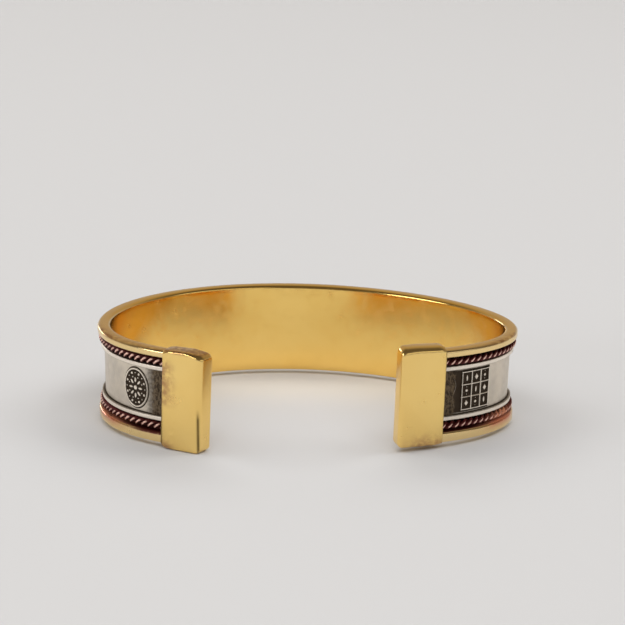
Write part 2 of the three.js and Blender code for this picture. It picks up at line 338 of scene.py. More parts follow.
class Graph:
    """The nodes of one material or of the room, added by expressions."""

    def __init__(self, owner: bpy.types.Material | bpy.types.World, shader: str) -> None:
        """Takes over the nodes of a new material or world.

        Args:
            owner: The material or world.
            shader: The name of its shader node.
        """
        self.owner = owner
        owner.use_nodes = True
        self.tree = owner.node_tree
        self.shader = self.tree.nodes[shader]

    @classmethod
    def coat(cls, name: str) -> "Graph":
        """The graph of a new material."""
        return cls(bpy.data.materials.new(name), "Principled BSDF")

    def add(
        self,
        kind: str,
        settings: Mapping[str, object] | None = None,
        sockets: Mapping[int | str, object] | None = None,
        output: int | str = 0,
    ) -> Value:
        """Adds a node of any type.

        Args:
            kind: The node's type.
            settings: Its own properties, set before its sockets.
            sockets: Numbers, colours or Values for its inputs, by index or name.
            output: Which output to give back.

        Returns:
            The chosen output.
        """
        node = self.tree.nodes.new(kind)
        for key, setting in (settings or {}).items():
            setattr(node, key, setting)
        for key, value in (sockets or {}).items():
            self.feed(node.inputs[key], value)
        return Value(self, node.outputs[output])

    def feed(self, socket: bpy.types.NodeSocket, value: object) -> None:
        """Links a Value to an input, or sets a number or colour on it.

        Args:
            socket: The input.
            value: What it takes.
        """
        if isinstance(value, Value):
            self.tree.links.new(value.socket, socket)
        elif isinstance(value, tuple) and len(value) == 3 and len(socket.default_value) == 4:
            socket.default_value = (*value, 1.0)
        else:
            socket.default_value = value

    def mask(self, name: str) -> Value:
        """A number that the mesh keeps at each point, by name."""
        settings = {"attribute_name": name, "attribute_type": "GEOMETRY"}
        return self.add("ShaderNodeAttribute", settings, output="Fac")

    def band_place(self, along: float, across: float) -> Value:
        """A vector of the place on the band, in stretched millimetres.

        Args:
            along: How much a millimetre along the band counts.
            across: How much a millimetre of height and depth counts.

        Returns:
            The vector.
        """
        per_metre = 1.0 / MM
        parts = {
            "X": self.mask("along") * (along * per_metre),
            "Y": self.mask("height") * (across * per_metre),
            "Z": self.mask("depth") * (across * per_metre),
        }
        return self.add("ShaderNodeCombineXYZ", sockets=parts)

    def noise(self, grain: Grain) -> Value:
        """Soft noise about one half, read at the place on the band.

        Args:
            grain: How fine and how drawn out it is.

        Returns:
            The noise.
        """
        sockets = {
            "Vector": self.band_place(grain.along, grain.across),
            "Scale": grain.scale,
            "Detail": grain.detail,
            "Roughness": grain.rough,
        }
        return self.add("ShaderNodeTexNoise", {"noise_dimensions": "3D"}, sockets, "Fac")

    def spots(self, grain: Grain) -> Value:
        """Soft noise carried over to how much it shows.

        Args:
            grain: The noise, and where and how much it shows.

        Returns:
            How much it shows.
        """
        return self.noise(grain).span(grain.low, grain.high, grain.least, grain.most)

    def mix(self, share: Value | float, first: object, second: object) -> Value:
        """Mixes two colours.

        Args:
            share: How much of the second colour shows.
            first: A colour or its Value.
            second: The other one.

        Returns:
            The mixed colour.
        """
        return self.add("ShaderNodeMix", {"data_type": "RGBA"}, {0: share, 6: first, 7: second}, 2)

    def finish(self, colour: object, rough: object, metal: object, height: Value, step: float) -> None:
        """Feeds the shader.

        Args:
            colour: Base colour.
            rough: Roughness.
            metal: Metallic.
            height: Relief for the bump, from 0 to 1.
            step: How high a relief of 1 is, in metres.
        """
        bump = self.add("ShaderNodeBump", sockets={"Strength": 1.0, "Distance": step, "Height": height})
        self.feed(self.shader.inputs["Base Color"], colour)
        self.feed(self.shader.inputs["Roughness"], rough)
        self.feed(self.shader.inputs["Metallic"], metal)
        self.feed(self.shader.inputs["Normal"], bump)


@dataclass(frozen=True)
class GoldFinish:
    """Polished gold-coloured brass with soft wear, painted reflections and shade, and dark dirt in its
    channels.
    """

    name: str
    bright: tuple[float, float, float] = (1.0, 0.675, 0.20)
    warm: tuple[float, float, float] = (0.96, 0.62, 0.165)
    # Painted brown: a dark reflection painted on the rims' top shoulders and the sleeves, and painted shade
    # at the sleeves' lower corners.
    brown: tuple[float, float, float] = (0.52, 0.29, 0.13)
    # Painted pale reflection on the rims' outer faces and on the inner wall beside the turns.
    pale: tuple[float, float, float] = (0.94, 0.70, 0.33)
    # Dark dirt together with painted shade in the rope channels, the sleeve pockets and the left lower
    # ledge.
    soil: tuple[float, float, float] = (0.085, 0.012, 0.010)
    # Painted shade lines in the sleeves' end creases and along their mouths.
    grime: tuple[float, float, float] = (0.085, 0.050, 0.014)
    # Painted copper reflection of the rope on the lower ledge near the turns.
    film: tuple[float, float, float] = (0.68, 0.26, 0.15)
    polish: float = 0.13
    worn: float = 0.30
    scratch_step: float = 0.006 * MM
    cloud: Grain = Grain(0.09, 4.0, 0.55, low=0.35, high=0.75)
    brown_breakup: Grain = Grain(0.9, 4.0, 0.6, low=0.3, high=0.65)
    line_shade_breakup: Grain = Grain(0.9, 4.0, 0.6, low=0.25, high=0.5, least=0.55)
    tint_breakup: Grain = Grain(0.9, 4.0, 0.6, low=0.2, high=0.45)
    patch: Grain = Grain(1.3, low=0.1, high=0.6, least=0.75)
    wear: Grain = Grain(0.5, 5.0, 0.6, low=0.35, high=0.8)
    hair: Grain = Grain(1.6, 5.0, 0.7, 0.25, 5.0)
    cross_hair: Grain = Grain(1.1, 4.0, 0.7, 4.0, 0.5)
    pit: Grain = Grain(2.4, 4.0, 0.6, low=0.64, high=0.74)
    hair_share: float = 0.35
    cross_share: float = 0.25
    pit_share: float = 0.5
    soil_and_shade_edge: tuple[float, float] = (0.05, 0.95)
    soil_and_shade_rough: float = 0.3
    soil_and_shade_dull: float = 0.35

    def material(self) -> bpy.types.Material:
        """The finish as a material."""
        graph = Graph.coat(self.name)
        colour = graph.mix(graph.spots(self.cloud), self.bright, self.warm)
        # Paler painted reflection where the pale mask is.
        colour = graph.mix(graph.mask("pale"), colour, self.pale)
        # Painted dark brown reflection and shade, broken up by noise.
        colour = graph.mix(graph.mask("brown") * graph.spots(self.brown_breakup), colour, self.brown)
        # Painted shade lines, broken up by noise.
        colour = graph.mix(graph.mask("grime") * graph.spots(self.line_shade_breakup), colour, self.grime)
        # Dark dirt and painted shade in recesses, broken up by noise; there it is also rougher and less
        # metallic.
        soil_and_shade_share = (graph.mask("soil") * graph.spots(self.patch)).span(*self.soil_and_shade_edge)
        colour = graph.mix(soil_and_shade_share, colour, self.soil)
        # Painted copper reflection, broken up by noise.
        colour = graph.mix(graph.mask("film") * graph.spots(self.tint_breakup), colour, self.film)
        rough = graph.noise(self.wear).span(self.wear.low, self.wear.high, self.polish, self.worn)
        rough = rough + soil_and_shade_share * self.soil_and_shade_rough
        relief = graph.noise(self.hair) * self.hair_share + graph.noise(self.cross_hair) * self.cross_share
        relief = relief - graph.spots(self.pit) * self.pit_share
        graph.finish(colour, rough, 1.0 - soil_and_shade_share * self.soil_and_shade_dull, relief, self.scratch_step)
        return graph.owner


@dataclass(frozen=True)
class SilverFinish:
    """Satin silver, bright on its raised lines and oxidised dark in its grounds."""

    name: str
    bright: tuple[float, float, float] = (0.77, 0.69, 0.575)
    grey: tuple[float, float, float] = (0.60, 0.54, 0.46)
    oxide: tuple[float, float, float] = (0.036, 0.021, 0.009)
    umber: tuple[float, float, float] = (0.15, 0.105, 0.06)
    crest: tuple[float, float, float] = (0.95, 0.86, 0.74)
    satin: float = 0.32
    dull: float = 0.46
    brush_step: float = 0.008 * MM
    grain: Grain = Grain(2.2, 5.0, 0.65, low=0.2, high=0.5, least=0.5)
    cloud: Grain = Grain(0.22, 4.0, 0.6, low=0.3, high=0.72)
    mottle: Grain = Grain(2.6, 4.0, 0.7, across=0.6, low=0.36, high=0.62)
    wear: Grain = Grain(0.8, 4.0, low=0.3, high=0.7)
    brushing: Grain = Grain(1.2, 4.0, 0.6, 0.3, 9.0)
    brush_share: float = 0.5
    uneven: float = 0.5
    faint_oxide: float = 0.3
    oxide_edge: tuple[float, float] = (0.12, 0.85)
    oxide_rough: float = 0.2
    oxide_dull: float = 0.45

    def material(self) -> bpy.types.Material:
        """The finish as a material."""
        graph = Graph.coat(self.name)
        oxide = graph.mask("oxide")
        grain = graph.noise(self.grain)
        uneven = (grain - NOISE_MIDDLE) * self.uneven * oxide.span(0.0, self.faint_oxide)
        dark = (oxide + uneven).span(*self.oxide_edge)
        colour = graph.mix(graph.spots(self.cloud), self.bright, self.grey)
        colour = graph.mix(graph.mask("crest") * graph.spots(self.grain), colour, self.crest)
        umber = (graph.mask("umber") * graph.spots(self.mottle)).span(0.0, 1.0)
        colour = graph.mix(dark, colour, graph.mix(umber, self.oxide, self.umber))
        rough = graph.noise(self.wear).span(self.wear.low, self.wear.high, self.satin, self.dull)
        rough = rough + dark * self.oxide_rough
        relief = graph.noise(self.brushing) * self.brush_share + grain * (1 - self.brush_share)
        graph.finish(colour, rough, 1.0 - dark * self.oxide_dull, relief, self.brush_step)
        return graph.owner


@dataclass(frozen=True)
class CopperFinish:
    """Dark copper wire with a painted highlight on the part of each strand that faces out of the band."""

    name: str
    # Painted highlight colour of the strands.
    bright: tuple[float, float, float] = (0.95, 0.61, 0.50)
    film: tuple[float, float, float] = (0.74, 0.31, 0.17)
    dark: tuple[float, float, float] = (0.085, 0.011, 0.010)
    glint: float = 0.38
    dull: float = 0.50
    grain_step: float = 0.004 * MM
    grain: Grain = Grain(1.7, 4.0, 0.6, low=0.3, high=0.55)
    uneven: float = 0.3
    bare_edge: tuple[float, float] = (0.12, 0.72)
    least_metal: float = 0.6

    def material(self) -> bpy.types.Material:
        """The finish as a material."""
        graph = Graph.coat(self.name)
        grain = graph.noise(self.grain)
        # Painted highlight where the glint mask is, broken up by noise; there it is also less rough and
        # more metallic.
        bare = (graph.mask("crown") + (grain - NOISE_MIDDLE) * self.uneven).span(*self.bare_edge)
        colour = graph.mix(bare, self.dark, self.bright)
        colour = graph.mix(graph.mask("film") * graph.spots(self.grain), colour, self.film)
        rough = bare.span(0.0, 1.0, self.dull, self.glint)
        metal = self.least_metal + bare * (1 - self.least_metal)
        graph.finish(colour, rough, metal, grain, self.grain_step)
        return graph.owner


def mesh_object(
    name: str,
    points: np.ndarray,
    faces: list[tuple[int, ...]],
    masks: Mapping[str, np.ndarray],
) -> bpy.types.Object:
    """Makes an object from points and faces, with smooth faces and sharp folds.

    Args:
        name: The object's name.
        points: One row of three coordinates for each point.
        faces: Point numbers of each face.
        masks: Numbers kept at each point, by name.

    Returns:
        The object, in the scene.
    """
    fold_deg = 38
    mesh = bpy.data.meshes.new(name)
    mesh.from_pydata(points.tolist(), [], faces)
    mesh.validate()
    for key, values in masks.items():
        layer = mesh.attributes.new(key, "FLOAT", "POINT")
        layer.data.foreach_set("value", np.ascontiguousarray(values, dtype=np.float32).ravel())
    mesh.shade_smooth()
    mesh.set_sharp_from_angle(angle=math.radians(fold_deg))
    made = bpy.data.objects.new(name, mesh)
    bpy.context.scene.collection.objects.link(made)
    return made


def tube_faces(rings: int, sides: int) -> list[tuple[int, ...]]:
    """Faces of a closed tube through rings of points.

    Args:
        rings: How many rings there are.
        sides: How many points a ring has.

    Returns:
        Quads round the tube and one face over each end.
    """
    index = np.arange(rings * sides).reshape(rings, sides)
    after = np.roll(index, -1, axis=1)
    quads = np.stack([index[:-1], index[1:], after[1:], after[:-1]], axis=-1).reshape(-1, 4)
    return [*map(tuple, quads.tolist()), tuple(index[0].tolist()), tuple(index[-1][::-1].tolist())]


@dataclass
class Loft:
    """A closed body lofted along the band through a section that may change on the way."""

    name: str
    stations: Stations
    section: np.ndarray
    masks: dict[str, np.ndarray] = field(default_factory=dict)

    def build(self) -> bpy.types.Object:
        """Makes the body, with its length, height and depth kept at each point."""
        count = len(self.stations.lengths)
        section = np.broadcast_to(self.section, (count, *self.section.shape[-2:]))
        depth, height = section[..., 0], section[..., 1]
        points = self.stations.place(depth, height)
        along = np.broadcast_to(self.stations.lengths, depth.shape)
        masks = {"along": along, "height": height, "depth": depth, **self.masks}
        faces = tube_faces(count, depth.shape[1])
        return mesh_object(self.name, points.reshape(-1, 3), faces, masks)


def clothe(piece: bpy.types.Object, material: bpy.types.Material, node: str) -> bpy.types.Object:
    """Gives a piece its finish, and puts it in its node's place.

    Args:
        piece: The piece.
        material: Its material.
        node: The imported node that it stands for.

    Returns:
        The piece.
    """
    piece.data.materials.append(material)
    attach(piece, "root")
    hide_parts(node)
    log.info("%s: %d faces for node %s", piece.name, len(piece.data.polygons), node)
    return piece


@dataclass
class GoldBand:
    """The backing strip and its two rims, soldered into one open channel."""

    path: BandPath
    height: float = 14.2 * MM
    thickness: float = 2.0 * MM
    backing: float = 0.5 * MM
    lower_rim: float = 1.55 * MM
    upper_rim: float = 1.2 * MM
    top_rounding: float = 0.5 * MM
    ledge_rounding: float = 0.45 * MM
    edge_rounding: float = 0.25 * MM
    setback: float = 0.3 * MM
    tongue: float = 5.0 * MM
    # Places near the turns: there the band takes painted copper and brown reflections, the lower rope a
    # warm tint near the right one, and the ropes' painted highlight fades near the left one.
    turn_mark_right: float = 12.5 * MM
    turn_mark_left: float = 12.5 * MM
    turn_mark_reach: float = 4.0 * MM
    # Where the inner wall takes a paler painted reflection beside each turn.
    side_from_bend: float = 21.0 * MM
    side_reach: float = 9.0 * MM
    step: float = 0.5 * MM
    floor_rows: int = 12
    wall_rows: int = 24

    @property
    def floor(self) -> float:
        """Depth of the channel's floor behind the rims' face."""
        return self.thickness - self.backing

    @property
    def ledge(self) -> float:
        """Height of the upper rim's lower face."""
        return self.height - self.upper_rim

    def section(self) -> np.ndarray:
        """The channel's section, as rows of depth and height."""
        small, soft, large = self.edge_rounding, self.ledge_rounding, self.top_rounding
        inner = self.thickness - large
        floor_rows = np.linspace(self.lower_rim, self.ledge, self.floor_rows)
        wall_rows = np.linspace(self.height - large, small, self.wall_rows)[1:-1]
        return np.vstack([
            arc((small, small), small, (270, 180), 4),
            arc((soft, self.lower_rim - soft), soft, (180, 90), 6),
            np.column_stack([np.full_like(floor_rows, self.floor), floor_rows]),
            arc((small, self.ledge + small), small, (270, 180), 3),
            arc((large, self.height - large), large, (180, 90), 6),
            arc((inner, self.height - large), large, (90, 0), 6),
            np.column_stack([np.full_like(wall_rows, self.thickness), wall_rows]),
            arc((self.thickness - small, small), small, (0, -90), 4),
        ])

    def waves(self, along: np.ndarray, height: np.ndarray) -> np.ndarray:
        """How far the hand-rolled inner wall strays from true.

        Args:
            along: Lengths along the band.
            height: Heights above its lower edge.

        Returns:
            The stray depth at each place.
        """
        stray = 0.022 * MM
        long_wave, short_wave = 7.1 * MM, 3.7 * MM
        long_start, short_start = 0.6, 2.1
        cross_wave, drift = 3.9 * MM, 11 * MM
        short_share, along_share, cross_share = 0.6, 0.6, 0.7
        lengthwise = np.sin(along / long_wave + long_start)
        lengthwise = lengthwise + short_share * np.sin(along / short_wave + short_start)
        crosswise = np.sin(height / cross_wave + along / drift)
        return stray * (lengthwise * along_share + crosswise * cross_share)

    def wear(
        self, along: np.ndarray, depth: np.ndarray, height: np.ndarray, inner: np.ndarray
    ) -> dict[str, np.ndarray]:
        """Dirt with painted shade, and painted copper, brown and pale reflections, at each place.

        Args:
            along: Lengths along the band.
            depth: Depths behind the rims' face.
            height: Heights above the band's lower edge.
            inner: How far each place belongs to the inner wall.

        Returns:
            The masks by name.
        """
        total = self.path.length
        edge, hair = 0.2 * MM, 0.02 * MM
        in_channel = smooth(height, self.lower_rim - edge, self.lower_rim - hair)
        in_channel *= smooth(height, self.ledge + edge, self.ledge + hair)
        outer_part = smooth(depth, self.thickness - edge, self.floor)
        face, behind_face = 0.05 * MM, 0.3 * MM
        # The channel floor beside the rope: dark dirt together with painted shade.
        soil = in_channel * outer_part * smooth(depth, face, behind_face)
        above_ledge = 0.5 * MM
        in_front = smooth(height, self.lower_rim + above_ledge, self.lower_rim + edge) * outer_part
        tint_from, ledge_from, ledge_to = 0.75 * MM, 0.5 * MM, 0.3 * MM
        on_ledge = smooth(height, self.lower_rim - tint_from, self.lower_rim - ledge_to) * in_front
        tint_strength, brown_strength = 1.5, 1.3
        # Near the turns the lower ledge takes a painted copper reflection of the rope.
        turns = bump_at(along, self.turn_mark_right, self.turn_mark_reach)
        turns = np.maximum(turns, bump_at(along, total - self.turn_mark_left, self.turn_mark_reach))
        film = on_ledge * np.clip(turns * tint_strength, 0, 1)
        # Painted shade darkens the left arm's lower ledge towards its end.
        shaded_end, unshaded_from, ledge_shade = 3.0 * MM, 9.0 * MM, 0.9
        left_end = smooth(along, total - unshaded_from, total - shaded_end)
        left_ledge = smooth(height, self.lower_rim - ledge_from, self.lower_rim - ledge_to) * in_front
        soil = np.maximum(soil, left_end * left_ledge * ledge_shade)
        # Painted dark brown reflection on the top shoulder near the turns and along the left arm.
        shoulder_from, shoulder_to = 0.55 * MM, 0.25 * MM
        shoulder = smooth(height, self.height - shoulder_from, self.height - shoulder_to)
        outer_from, outer_to = 0.75 * MM, 0.3 * MM
        brown = shoulder * smooth(depth, outer_from, outer_to) * np.clip(turns * brown_strength, 0, 1)
        arm_from, arm_to = 17.0 * MM, 11.0 * MM
        line_depth, line_width, line_share = 0.7 * MM, 0.6 * MM, 0.8
        left_arm = smooth(along, total - arm_from, total - arm_to)
        line = bump_at(depth, line_depth, line_width) * line_share
        brown = np.maximum(brown, shoulder * line * left_arm)
        # Paler painted reflection on the rims' outer face and on the inner wall beside the turns.
        sides = bump_at(along, self.side_from_bend, self.side_reach)
        sides = np.maximum(sides, bump_at(along, total - self.side_from_bend, self.side_reach))
        pale_from, pale_to, side_share = 0.6 * MM, 0.2 * MM, 0.85
        pale = np.maximum(smooth(depth, pale_from, pale_to), inner * sides * side_share)
        return {"soil": soil, "film": film, "brown": brown, "pale": pale}

    def build(self) -> bpy.types.Object:
        """Makes the band's body with its waves and its wear."""
        total = self.path.length
        low, high = -self.tongue, total + self.tongue
        along = np.linspace(low, high, round((high - low) / self.step) + 1)[:, None]
        stations = self.path.at(along)
        section = np.broadcast_to(self.section(), (len(along), *self.section().shape)).copy()
        past_floor = 0.1 * MM
        inner = smooth(section[..., 0], self.floor + past_floor, self.thickness)
        section[..., 0] += inner * self.waves(along, section[..., 1])
        # Masks of dirt with painted shade, and of painted copper, brown and pale reflections.
        masks = self.wear(along, section[..., 0], section[..., 1], inner)
        return Loft("band", stations, section, masks).build()

    def dress(self, piece: bpy.types.Object) -> None:
        """Gives the band its gold."""
        clothe(piece, GoldFinish("gold_polish").material(), "gold_band")


@dataclass
class Medallion:
    """A ring round a rosette of petals and beads, raised on the plate."""

    from_bend: float = 5.45 * MM
    half_width: float = 2.55 * MM
    half_height: float = 3.0 * MM
    ring: float = 0.2 * MM
    rise: float = 0.28 * MM
    petals: int = 8
    petal_reach: float = 1.02 * MM
    petal_length: float = 0.9 * MM
    petal_width: float = 0.38 * MM
    bead_reach: float = 1.95 * MM
    bead_radius: float = 0.22 * MM
    small_bead: float = 0.13 * MM
    centre: float = 0.36 * MM
    worn: float = 0.6
    ring_edge: tuple[float, float] = (0.75, 0.4)
    inner_bead_reach: float = 1.42
    form_rise: float = 0.8
    outer_bead_rise: float = 0.875
    line_away: float = 0.1 * MM
    line_width: float = 0.11 * MM
    line_depth: float = 0.04 * MM
    line_dark: float = 0.9
    bare_edge: tuple[float, float] = (0.2, 0.5)
    bare: float = 0.85

    @property
    def stretch(self) -> float:
        """How much taller than wide the medallion is."""
        return self.half_height / self.half_width

    def relief(self, x: np.ndarray, y: np.ndarray) -> tuple[np.ndarray, np.ndarray]:
        """Height and oxide of the medallion.

        Args:
            x: Distances along the band from the medallion's middle.
            y: Heights from its middle.

        Returns:
            How far the metal stands out at each place, and how dark it is.
        """
        reach = np.hypot(x / self.half_width, y / self.half_height) * self.half_width
        rim = self.half_width - self.ring / 2
        foot, crest = (share * self.ring for share in self.ring_edge)
        height = smooth(np.abs(reach - rim), foot, crest) * self.rise * self.worn
        for petal in range(self.petals):
            turn = 2 * math.pi * petal / self.petals
            between = turn + math.pi / self.petals
            forms = (
                self.leaf(x, y, turn),
                self.bead(x, y, between, self.bead_reach, self.bead_radius),
                self.bead(x, y, between, self.petal_reach * self.inner_bead_reach, self.small_bead),
                self.bead(x, y, turn, self.bead_reach, self.small_bead) * self.outer_bead_rise,
            )
            height = np.maximum.reduce([height, *forms])
        height = np.maximum(height, dome(np.hypot(x, y), self.centre) * self.rise)
        height = np.minimum(height, self.rise * self.worn)
        inside = smooth(reach, self.half_width, self.half_width - self.ring)
        line = bump_at(reach, self.half_width + self.line_away, self.line_width)
        low, high = (share * self.rise for share in self.bare_edge)
        ground = inside * (1 - smooth(height, low, high) * self.bare)
        return height - self.line_depth * line, np.maximum(ground, line * self.line_dark)

    def bead(self, x: np.ndarray, y: np.ndarray, turn: float, reach: float, radius: float) -> np.ndarray:
        """Height of one bead.

        Args:
            x: Distances along the band from the medallion's middle.
            y: Heights from its middle.
            turn: The bead's direction in radians.
            reach: How far out it is.
            radius: Its radius.

        Returns:
            The bead's height at each place.
        """
        away = np.hypot(x - reach * math.cos(turn), y - reach * math.sin(turn) * self.stretch)
        return dome(away, radius) * self.rise * self.form_rise

    def leaf(self, x: np.ndarray, y: np.ndarray, turn: float) -> np.ndarray:
        """Height of one petal.

        Args:
            x: Distances along the band from the medallion's middle.
            y: Heights from its middle.
            turn: The petal's direction in radians.

        Returns:
            The petal's height at each place.
        """
        dx = x - self.petal_reach * math.cos(turn)
        dy = y - self.petal_reach * math.sin(turn) * self.stretch
        lengthwise = dx * math.cos(turn) + dy * math.sin(turn)
        crosswise = dy * math.cos(turn) - dx * math.sin(turn)
        away = np.hypot(lengthwise / (self.petal_length / 2), crosswise / (self.petal_width / 2))
        return dome(away, 1.0) * self.rise * self.form_rise


@dataclass
class SquaredPanel:
    """Raised lines round small plain ornaments, on an oxidised ground."""

    from_bend: float = 6.2 * MM
    width: float = 5.8 * MM
    height: float = 6.0 * MM
    cells: int = 3
    line: float = 0.2 * MM
    rise: float = 0.22 * MM
    ornament_rise: float = 0.2 * MM
    ornament: float = 0.5 * MM
    ground_from: float = -0.2 * MM
    ground_top: float = 3.55 * MM
    line_edge: tuple[float, float] = (0.62, 0.25)
    bare_edge: tuple[float, float] = (0.3, 0.75)
    bare: float = 0.9

    def lines(self, place: np.ndarray, whole: float) -> np.ndarray:
        """Height of the panel's lines across one direction.

        Args:
            place: Distances from the panel's middle in that direction.
            whole: The panel's size in that direction.

        Returns:
            The lines' height at each place.
        """
        pitch = (whole - self.line) / self.cells
        first = -(whole - self.line) / 2
        foot, crest = (share * self.line for share in self.line_edge)
        height = np.zeros_like(place)
        for number in range(self.cells + 1):
            away = np.abs(place - first - number * pitch)
            height = np.maximum(height, smooth(away, foot, crest))
        return height

    def figure(self, x: np.ndarray, y: np.ndarray, kind: Ornament) -> np.ndarray:
        """Height of one ornament.

        Args:
            x: Distances along the band from the square's middle.
            y: Heights from its middle.
            kind: Which ornament.

        Returns:
            Its height at each place, 1 at the most.
        """
        size = self.ornament
        if kind is Ornament.BAR:
            half_width, half_height = 0.34 * size, 1.1 * size
            return dome(np.hypot(x / half_width, y / half_height), 1.0)
        if kind is Ornament.DOT:
            bead_radius, dot_radius, dot_away, dot_rise = 0.55 * size, 0.26 * size, 1.15 * size, 0.7
            dots = dome(np.hypot(x, np.abs(y) - dot_away), dot_radius)
            return np.maximum(dome(np.hypot(x, y), bead_radius), dots * dot_rise)
        slope, foot, crest = 0.75, 0.9 * size, 0.55 * size
        return smooth(np.abs(x) + np.abs(y) * slope, foot, crest)

    def relief(self, x: np.ndarray, y: np.ndarray) -> tuple[np.ndarray, np.ndarray]:
        """Height and oxide of the panel.

        Args:
            x: Distances along the band from the panel's middle.
            y: Heights from its middle.

        Returns:
            How far the metal stands out at each place, and how dark it is.
        """
        half_width, half_height = self.width / 2, self.height / 2
        outer, inner = 0.05 * MM, 0.02 * MM
        within_x = smooth(np.abs(x), half_width + outer, half_width - inner)
        within_y = smooth(np.abs(y), half_height + outer, half_height - inner)
        across = self.lines(x, self.width) * within_y
        upward = self.lines(y, self.height) * within_x
        height = np.maximum(across, upward) * self.rise
        cell_x = (self.width - self.line) / self.cells
        cell_y = (self.height - self.line) / self.cells
        middle = (self.cells - 1) / 2
        for column in range(self.cells):
            for row in range(self.cells):
                kind = Ornament((column + row) % len(Ornament))
                mark = self.figure(x - (column - middle) * cell_x, y - (row - middle) * cell_y, kind)
                height = np.maximum(height, mark * self.ornament_rise)
        height = np.maximum(height, self.vine(x, y))
        start = self.ground_from - self.from_bend
        before, after, edge = 0.4 * MM, 0.2 * MM, 0.5 * MM
        beyond, beside = 0.25 * MM, 0.02 * MM
        ground = smooth(x, start - before, start + after)
        ground *= smooth(x, half_width + beyond, half_width + beside)
        ground *= smooth(np.abs(y), self.ground_top, self.ground_top - edge)
        low, high = (share * self.rise for share in self.bare_edge)
        return height, ground * (1 - smooth(height, low, high) * self.bare)

    def vine(self, x: np.ndarray, y: np.ndarray) -> np.ndarray:
        """Height of the low waving line between the sleeve and the squares.

        Args:
            x: Distances along the band from the panel's middle.
            y: Heights from its middle.

        Returns:
            Its height at each place.
        """
        from_squares, sway_reach, wave = 1.35 * MM, 0.28 * MM, 0.62 * MM
        foot, crest = 0.16 * MM, 0.04 * MM
        tip, full = 2.7 * MM, 2.3 * MM
        share = 0.5
        middle = -self.width / 2 - from_squares
        sway = sway_reach * np.sin(y / wave)
        line = smooth(np.abs(x - middle - sway), foot, crest)
        return line * smooth(np.abs(y), tip, full) * self.rise * share


